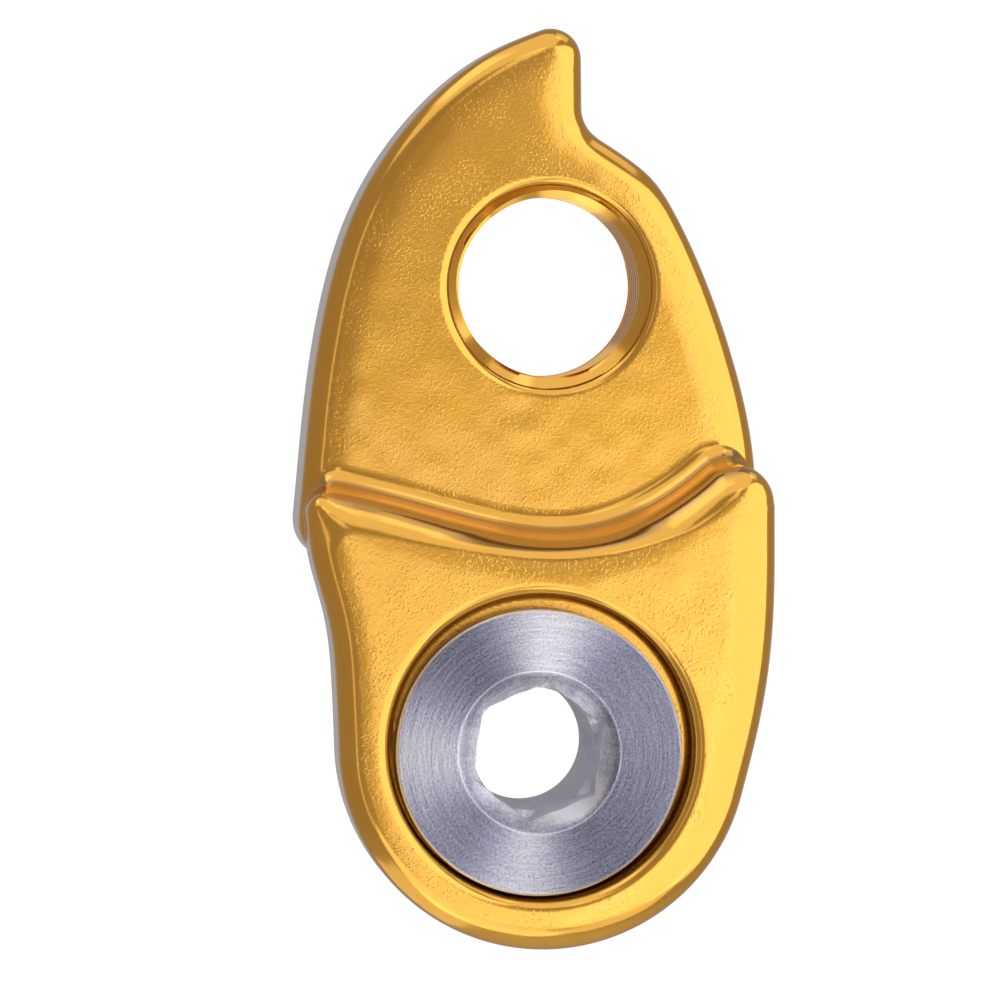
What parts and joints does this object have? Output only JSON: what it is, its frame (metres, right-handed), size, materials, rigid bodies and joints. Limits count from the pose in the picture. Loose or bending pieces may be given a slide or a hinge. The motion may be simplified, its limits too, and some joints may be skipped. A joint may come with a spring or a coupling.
{
  "type": "rear derailleur hanger extender",
  "caption": "Stepped gold link with a hooked stop, a threaded derailleur hole and a captive hollow fixing bolt.",
  "frame": {"origin": "on the fixing bolt's axis, in the plane of the hanger seat at the back of the lower plate", "axes": "+Y inboard along the fixing bolt, towards the bicycle; +Z from the fixing bolt towards the derailleur thread; +X to the right as seen from outboard"},
  "size_m": [0.0233, 0.0135, 0.0456],
  "materials": {
    "gold_aluminium": "glossy gold coat over a fine blasted forging",
    "bolt_steel": "face turned on a lathe, zinc bright",
    "ring_steel": "dark spring steel"
  },
  "bodies": {
    "link": {"link_body": "gold_aluminium"},
    "ring": {"retaining_ring": "ring_steel"},
    "bolt": {"fixing_bolt": "bolt_steel"}
  },
  "joints": [
    {"name": "bolt_float", "type": "slide", "parent": "link", "child": "ring", "axis": [0, -1, 0], "range_m": [0, 0.0004]},
    {"name": "bolt_spin", "type": "hinge", "parent": "ring", "child": "bolt", "pos_m": [0, 0, 0], "axis": [0, -1, 0], "continuous": true}
  ]
}
